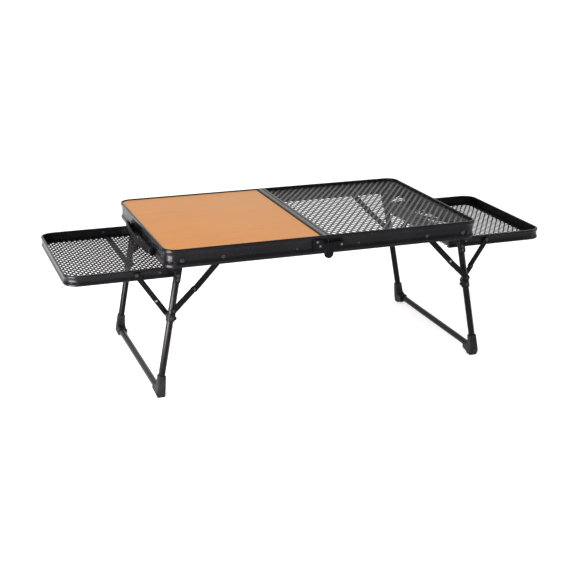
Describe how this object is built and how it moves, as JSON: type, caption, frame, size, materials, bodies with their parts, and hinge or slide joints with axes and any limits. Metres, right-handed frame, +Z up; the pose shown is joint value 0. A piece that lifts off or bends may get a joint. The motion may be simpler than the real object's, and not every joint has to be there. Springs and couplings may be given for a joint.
{
  "type": "folding camp table",
  "caption": "Low folding camp table with a wood leaf, a mesh grill leaf, folding U-legs with knee stays, and drop-in mesh wing trays at both ends.",
  "frame": {"origin": "centre of the footprint at floor level", "axes": "+X along the length towards the mesh leaf, -Y towards the user, +Z up"},
  "size_m": [0.976, 0.408, 0.289],
  "materials": {
    "black_aluminium": "satin",
    "seam_grey": "satin",
    "black_steel": "semi-gloss",
    "black_mesh": "satin",
    "rivet_steel": "satin",
    "wood_laminate": "satin",
    "collar_plastic": "matte",
    "handle_plastic": "satin",
    "foot_plastic": "matte"
  },
  "bodies": {
    "left_leaf": {"left_leaf_frame": "black_aluminium", "left_seam_bar": "seam_grey", "left_tray_brackets": "black_steel", "left_leaf_rivets": "rivet_steel", "left_hinge_leaf_front": "black_steel", "left_hinge_leaf_back": "black_steel", "centre_hinge_pins": "rivet_steel", "wood_panel": "wood_laminate", "left_handle": "handle_plastic", "left_handle_screws": "rivet_steel"},
    "left_leg": {"left_leg_frame": "black_steel", "left_leg_rivets": "rivet_steel", "left_leg_fitting_front": "black_steel", "left_leg_fitting_back": "black_steel", "left_leg_collar_front": "collar_plastic", "left_leg_collar_back": "collar_plastic", "left_foot_front": "foot_plastic", "left_foot_back": "foot_plastic"},
    "left_tray": {"left_tray_rim": "black_aluminium", "left_tray_bar": "seam_grey", "left_tray_mesh": "black_mesh", "left_tray_rivets": "rivet_steel"},
    "left_inner_stay_upper": {"left_inner_stay_upper_front": "black_steel", "left_inner_stay_upper_back": "black_steel"},
    "left_inner_stay_lower": {"left_inner_stay_lower_front": "black_steel", "left_inner_stay_lower_back": "black_steel"},
    "left_outer_stay_upper": {"left_outer_stay_upper_front": "black_steel", "left_outer_stay_upper_back": "black_steel"},
    "left_outer_stay_lower": {"left_outer_stay_lower_front": "black_steel", "left_outer_stay_lower_back": "black_steel"},
    "right_leaf": {"right_leaf_frame": "black_aluminium", "right_seam_bar": "seam_grey", "right_tray_brackets": "black_steel", "right_leaf_rivets": "rivet_steel", "right_hinge_leaf_front": "black_steel", "right_hinge_leaf_back": "black_steel", "grill_mesh": "black_mesh", "right_handle": "handle_plastic", "right_handle_screws": "rivet_steel"},
    "right_leg": {"right_leg_frame": "black_steel", "right_leg_rivets": "rivet_steel", "right_leg_fitting_front": "black_steel", "right_leg_fitting_back": "black_steel", "right_leg_collar_front": "collar_plastic", "right_leg_collar_back": "collar_plastic", "right_foot_front": "foot_plastic", "right_foot_back": "foot_plastic"},
    "right_tray": {"right_tray_rim": "black_aluminium", "right_tray_bar": "seam_grey", "right_tray_mesh": "black_mesh", "right_tray_rivets": "rivet_steel"},
    "right_inner_stay_upper": {"right_inner_stay_upper_front": "black_steel", "right_inner_stay_upper_back": "black_steel"},
    "right_inner_stay_lower": {"right_inner_stay_lower_front": "black_steel", "right_inner_stay_lower_back": "black_steel"},
    "right_outer_stay_upper": {"right_outer_stay_upper_front": "black_steel", "right_outer_stay_upper_back": "black_steel"},
    "right_outer_stay_lower": {"right_outer_stay_lower_front": "black_steel", "right_outer_stay_lower_back": "black_steel"}
  },
  "joints": [
    {"name": "leaf_fold", "type": "hinge", "parent": "left_leaf", "child": "right_leaf", "pos_m": [0, 0, 0.2537], "axis": [0, 1, 0], "range_deg": [0, 90]},
    {"name": "left_leg_fold", "type": "hinge", "parent": "left_leaf", "child": "left_leg", "pos_m": [-0.2824, 0, 0.2676], "axis": [0, -1, 0], "range_deg": [0, 100.37]},
    {"name": "left_tray_fold", "type": "hinge", "parent": "left_leaf", "child": "left_tray", "pos_m": [-0.2783, 0, 0.2494], "axis": [0, -1, 0], "range_deg": [0, 180.01]},
    {"name": "left_inner_stay_upper_turn", "type": "hinge", "parent": "left_leaf", "child": "left_inner_stay_upper", "pos_m": [-0.205, 0, 0.2676], "axis": [0, -1, 0], "range_deg": [0, 133.43]},
    {"name": "left_inner_stay_lower_turn", "type": "hinge", "parent": "left_leg", "child": "left_inner_stay_lower", "pos_m": [-0.30011, 0, 0.17081], "axis": [0, 1, 0], "range_deg": [0, 144.36]},
    {"name": "left_outer_stay_upper_turn", "type": "hinge", "parent": "left_tray", "child": "left_outer_stay_upper", "pos_m": [-0.3584, 0, 0.2355], "axis": [0, 1, 0], "range_deg": [0, 125.14]},
    {"name": "left_outer_stay_lower_turn", "type": "hinge", "parent": "left_leg", "child": "left_outer_stay_lower", "pos_m": [-0.3055, 0, 0.1565], "axis": [0, -1, 0], "range_deg": [0, 130.58]},
    {"name": "right_leg_fold", "type": "hinge", "parent": "right_leaf", "child": "right_leg", "pos_m": [0.2824, 0, 0.2676], "axis": [0, 1, 0], "range_deg": [0, 100.37]},
    {"name": "right_tray_fold", "type": "hinge", "parent": "right_leaf", "child": "right_tray", "pos_m": [0.2783, 0, 0.2494], "axis": [0, 1, 0], "range_deg": [0, 180.01]},
    {"name": "right_inner_stay_upper_turn", "type": "hinge", "parent": "right_leaf", "child": "right_inner_stay_upper", "pos_m": [0.205, 0, 0.2676], "axis": [0, 1, 0], "range_deg": [0, 133.43]},
    {"name": "right_inner_stay_lower_turn", "type": "hinge", "parent": "right_leg", "child": "right_inner_stay_lower", "pos_m": [0.30011, 0, 0.17081], "axis": [0, -1, 0], "range_deg": [0, 144.36]},
    {"name": "right_outer_stay_upper_turn", "type": "hinge", "parent": "right_tray", "child": "right_outer_stay_upper", "pos_m": [0.3584, 0, 0.2355], "axis": [0, -1, 0], "range_deg": [0, 125.14]},
    {"name": "right_outer_stay_lower_turn", "type": "hinge", "parent": "right_leg", "child": "right_outer_stay_lower", "pos_m": [0.3055, 0, 0.1565], "axis": [0, 1, 0], "range_deg": [0, 130.58]}
  ],
  "couplings": [
    {"joint": "left_tray_fold", "follows": "left_leg_fold", "ratio": 1.7934},
    {"joint": "left_inner_stay_upper_turn", "follows": "left_leg_fold", "ratio": 1.3293},
    {"joint": "left_inner_stay_lower_turn", "follows": "left_leg_fold", "ratio": 1.4382},
    {"joint": "left_outer_stay_upper_turn", "follows": "left_leg_fold", "ratio": 1.2467},
    {"joint": "left_outer_stay_lower_turn", "follows": "left_leg_fold", "ratio": 1.3009},
    {"joint": "right_tray_fold", "follows": "right_leg_fold", "ratio": 1.7934},
    {"joint": "right_inner_stay_upper_turn", "follows": "right_leg_fold", "ratio": 1.3293},
    {"joint": "right_inner_stay_lower_turn", "follows": "right_leg_fold", "ratio": 1.4382},
    {"joint": "right_outer_stay_upper_turn", "follows": "right_leg_fold", "ratio": 1.2467},
    {"joint": "right_outer_stay_lower_turn", "follows": "right_leg_fold", "ratio": 1.3009}
  ]
}
